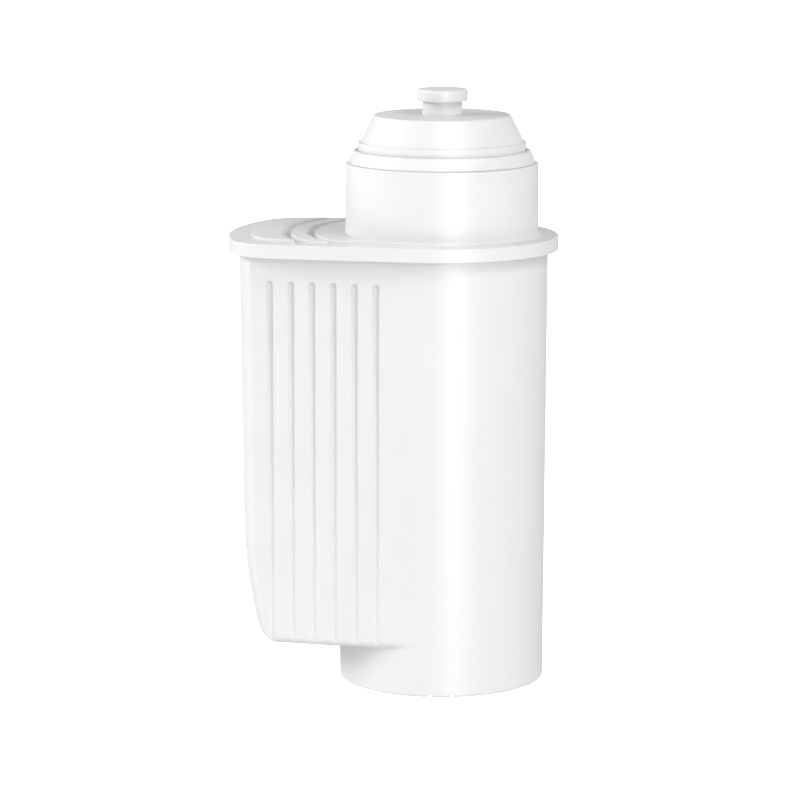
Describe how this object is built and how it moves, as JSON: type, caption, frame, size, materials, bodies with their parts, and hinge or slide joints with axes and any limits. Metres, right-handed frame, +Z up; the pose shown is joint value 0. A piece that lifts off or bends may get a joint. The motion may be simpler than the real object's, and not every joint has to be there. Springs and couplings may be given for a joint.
{
  "type": "water tank filter cartridge",
  "caption": "Round filter cartridge with a flat-sided side chamber, a flanged lid with a neck, cap and pull knob, and a bypass dial round the outlet socket in its base.",
  "frame": {"origin": "middle of the part's plan box, on the surface that it stands on", "axes": "+Z up towards the knob, -X towards the side chamber, +Y across the narrow way"},
  "size_m": [0.0694, 0.049, 0.1254],
  "materials": {
    "white_body": "white satin moulded polypropylene",
    "white_cap": "white satin moulded polypropylene, slightly smoother than the body",
    "natural_plastic": "uncoloured translucent-white moulded polypropylene",
    "grey_dial": "light grey satin moulded plastic",
    "dark_rubber": "matt black elastomer",
    "felt": "pressed non-woven fleece",
    "resin_beads": "packed amber ion-exchange beads",
    "carbon_grains": "packed black activated carbon grains",
    "clip_steel": "stamped stainless spring steel"
  },
  "bodies": {
    "cartridge": {"housing": "white_body", "lid": "white_body", "neck_ring": "white_cap", "cap": "white_cap", "cap_seal": "dark_rubber", "pull_knob": "white_cap", "knob_clip": "clip_steel", "lower_screen": "natural_plastic", "lower_felt": "felt", "resin_bed": "resin_beads", "upper_felt": "felt", "upper_screen": "natural_plastic", "inlet_grid": "natural_plastic", "inlet_felt": "felt", "carbon_bed": "carbon_grains", "side_felt": "felt", "side_screen": "natural_plastic", "outlet_tube": "natural_plastic", "outlet_seal": "dark_rubber", "dial_gasket": "dark_rubber", "dial_retainer": "natural_plastic"},
    "dial": {"bypass_dial": "grey_dial"}
  },
  "joints": [
    {"name": "dial_turn", "type": "hinge", "parent": "cartridge", "child": "dial", "pos_m": [0.0102, 0, 0.0021], "axis": [0, 0, 1], "range_deg": [-30, 30]}
  ]
}
